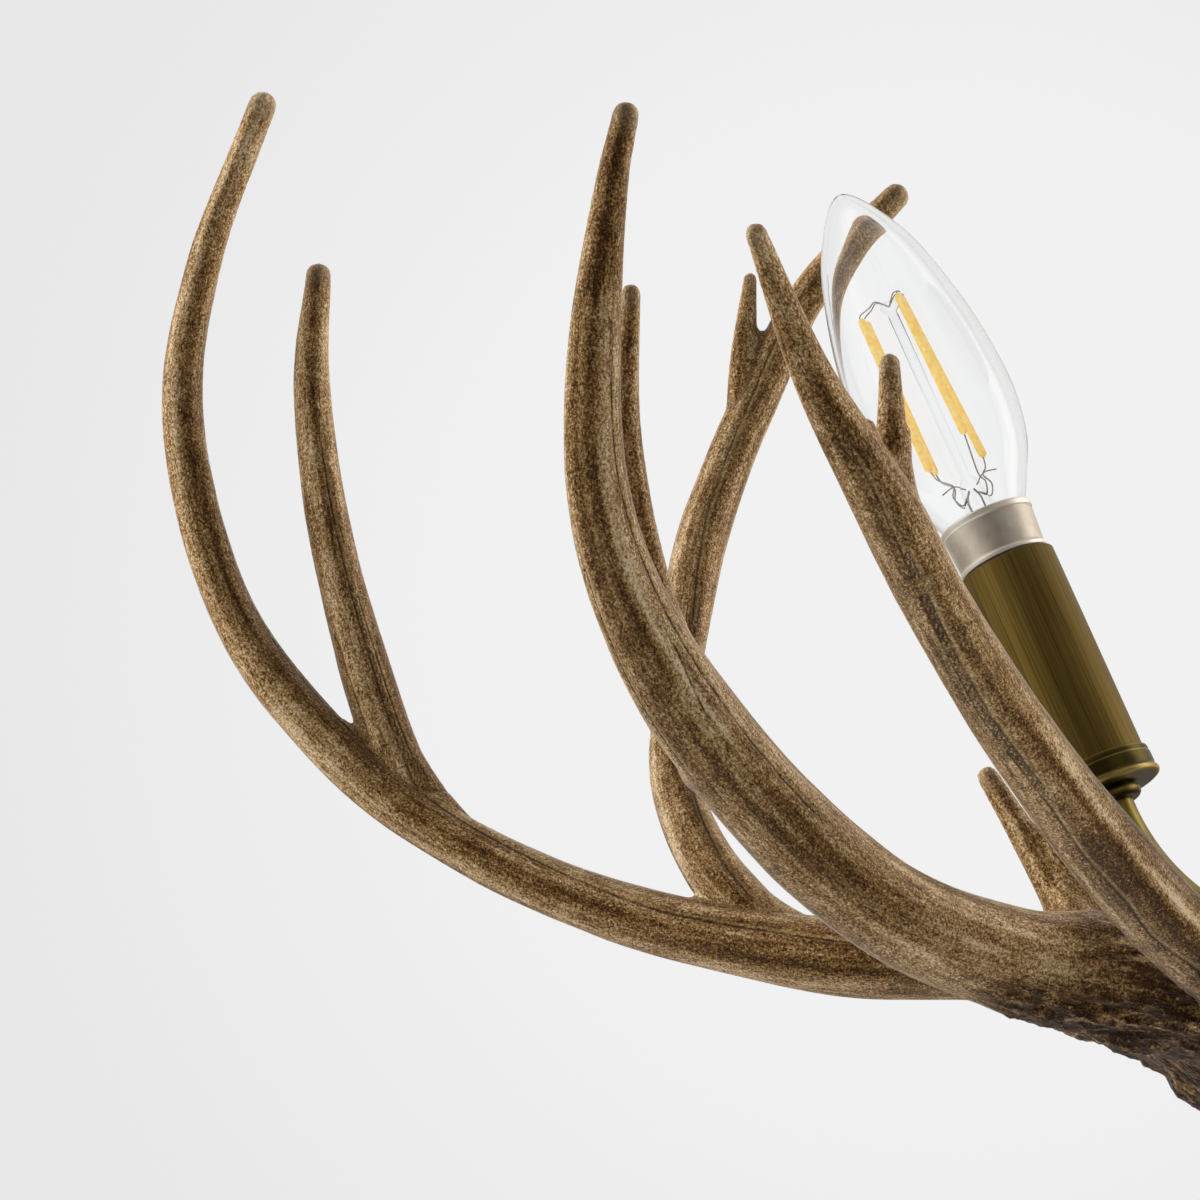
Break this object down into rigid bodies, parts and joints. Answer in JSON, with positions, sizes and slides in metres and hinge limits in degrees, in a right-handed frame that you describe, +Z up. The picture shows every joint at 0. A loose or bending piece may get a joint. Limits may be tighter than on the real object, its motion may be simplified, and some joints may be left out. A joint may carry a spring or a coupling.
{
  "type": "antler semi-flush ceiling light",
  "caption": "Semi-flush ceiling light: cast resin antlers curling up round leaning candle lamps on bronze arms, hung from a canopy by a short stem.",
  "frame": {"origin": "middle of the mounting bracket's top face, on the ceiling", "axes": "+Z up along the stem, into the ceiling; +X along the mounting bracket"},
  "size_m": [0.6086, 0.5072, 0.3468],
  "materials": {
    "antler_resin": "cast resin, painted as weathered antler, speckled, satin",
    "dark_bronze": "oil rubbed bronze, satin",
    "antique_bronze": "antiqued brass, satin",
    "brushed_bronze": "antiqued brass, brushed along the sleeve",
    "satin_nickel": "satin nickel",
    "clear_glass": "clear glass",
    "filament": "phosphor coated",
    "zinc_steel": "zinc plated",
    "green_steel": "green earth screw",
    "white_plastic": "moulded",
    "phenolic": "moulded phenolic",
    "wire_sheath": "matt sheath"
  },
  "bodies": {
    "fixture": {"mounting_bracket": "zinc_steel", "ground_screw": "green_steel", "canopy_studs": "zinc_steel", "canopy": "dark_bronze", "stem_nut": "zinc_steel", "terminal_block": "white_plastic", "stem_collar": "dark_bronze", "stem": "antique_bronze", "hub_cap": "dark_bronze", "hub_body": "dark_bronze", "rod_nut": "zinc_steel", "threaded_rod": "zinc_steel", "spacer": "antique_bronze", "antler_plate": "dark_bronze", "antler_screws": "antique_bronze", "wiring": "wire_sheath", "arm_1": "antique_bronze", "arm_2": "antique_bronze", "arm_3": "antique_bronze", "arm_4": "antique_bronze", "neck_ring_1": "dark_bronze", "neck_ring_2": "dark_bronze", "neck_ring_3": "dark_bronze", "neck_ring_4": "dark_bronze", "candle_cup_1": "dark_bronze", "candle_cup_2": "dark_bronze", "candle_cup_3": "dark_bronze", "candle_cup_4": "dark_bronze", "candle_sleeve_1": "brushed_bronze", "candle_sleeve_2": "brushed_bronze", "candle_sleeve_3": "brushed_bronze", "candle_sleeve_4": "brushed_bronze", "lamp_holder_1": "phenolic", "lamp_holder_2": "phenolic", "lamp_holder_3": "phenolic", "lamp_holder_4": "phenolic", "long_antler_1": "antler_resin", "long_antler_2": "antler_resin", "broad_antler_1": "antler_resin", "broad_antler_2": "antler_resin", "broad_antler_3": "antler_resin", "broad_antler_4": "antler_resin", "forked_antler_1": "antler_resin", "forked_antler_2": "antler_resin"},
    "bulb_1": {"bulb_base_1": "satin_nickel", "bulb_glass_1": "clear_glass", "bulb_filament_1": "filament"},
    "bulb_2": {"bulb_base_2": "satin_nickel", "bulb_glass_2": "clear_glass", "bulb_filament_2": "filament"},
    "bulb_3": {"bulb_base_3": "satin_nickel", "bulb_glass_3": "clear_glass", "bulb_filament_3": "filament"},
    "bulb_4": {"bulb_base_4": "satin_nickel", "bulb_glass_4": "clear_glass", "bulb_filament_4": "filament"},
    "cap_nut_1": {"cap_nut_1": "antique_bronze"},
    "cap_nut_2": {"cap_nut_2": "antique_bronze"},
    "finial": {"finial": "antique_bronze"}
  },
  "joints": [
    {"name": "bulb_1_turn", "type": "hinge", "parent": "fixture", "child": "bulb_1", "pos_m": [-0.0942, 0.02701, -0.22855], "axis": [-0.3833, 0.1099, 0.9171], "range_deg": [0, 900]},
    {"name": "bulb_2_turn", "type": "hinge", "parent": "fixture", "child": "bulb_2", "pos_m": [-0.02701, -0.0942, -0.22855], "axis": [-0.1099, -0.3833, 0.9171], "range_deg": [0, 900]},
    {"name": "bulb_3_turn", "type": "hinge", "parent": "fixture", "child": "bulb_3", "pos_m": [0.0942, -0.02701, -0.22855], "axis": [0.3833, -0.1099, 0.9171], "range_deg": [0, 900]},
    {"name": "bulb_4_turn", "type": "hinge", "parent": "fixture", "child": "bulb_4", "pos_m": [0.02701, 0.0942, -0.22855], "axis": [0.1099, 0.3833, 0.9171], "range_deg": [0, 900]},
    {"name": "cap_nut_1_turn", "type": "hinge", "parent": "fixture", "child": "cap_nut_1", "pos_m": [-0.033, 0, -0.026], "axis": [0, 0, -1], "range_deg": [0, 1800]},
    {"name": "cap_nut_2_turn", "type": "hinge", "parent": "fixture", "child": "cap_nut_2", "pos_m": [0.033, 0, -0.026], "axis": [0, 0, -1], "range_deg": [0, 1800]},
    {"name": "finial_turn", "type": "hinge", "parent": "fixture", "child": "finial", "pos_m": [0, 0, -0.3125], "axis": [0, 0, -1], "range_deg": [0, 1800]}
  ]
}
